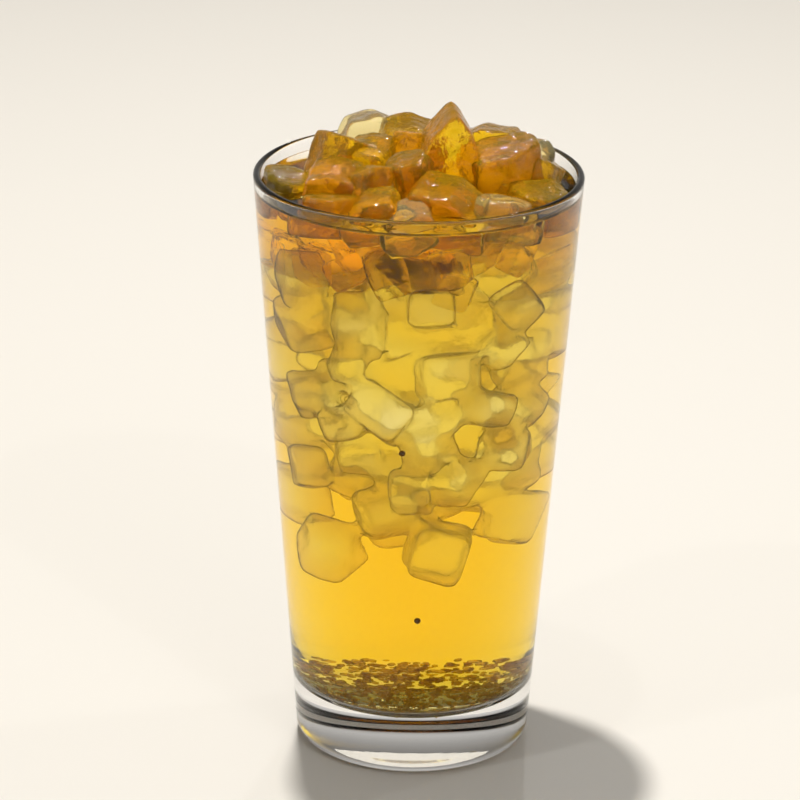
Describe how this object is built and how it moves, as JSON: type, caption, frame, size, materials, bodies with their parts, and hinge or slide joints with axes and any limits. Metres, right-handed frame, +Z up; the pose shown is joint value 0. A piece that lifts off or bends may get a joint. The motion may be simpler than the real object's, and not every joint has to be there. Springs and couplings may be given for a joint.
{
  "type": "glass of lemon tea",
  "caption": "Tall conical clear glass tumbler with a thick base, filled with yellow lemon tea and heaped with broken amber jelly and ice. Stands on its foot.",
  "frame": {"origin": "middle of the foot, on the plane it stands on", "axes": "+Z up the glass from foot to lip, -Y towards the side first seen, +X to the right of it"},
  "size_m": [0.0818, 0.0818, 0.1667],
  "materials": {
    "clear_glass": "clear, polished",
    "tea": "clear liquid",
    "jelly": "wet, translucent",
    "ice": "wet, clouded"
  },
  "bodies": {
    "root": {"ice_01_back_left": "ice", "ice_02_back_right": "ice", "ice_03_front": "ice", "ice_04_front_right": "ice", "jelly_01_peak": "jelly", "jelly_02_shoulder": "jelly", "jelly_03_crest": "jelly", "jelly_04_slope": "jelly", "jelly_05_back": "jelly", "jelly_06_middle": "jelly", "jelly_07_inner_left": "jelly", "jelly_08_wedge": "jelly", "jelly_09_left": "jelly", "jelly_10_edge_left": "jelly", "jelly_11_inner_front": "jelly", "jelly_12_centre": "jelly", "jelly_13_front": "jelly", "jelly_14_front_left": "jelly", "jelly_15_low_front": "jelly", "jelly_16_edge_right": "jelly", "tea": "tea", "tumbler": "clear_glass"}
  },
  "joints": []
}
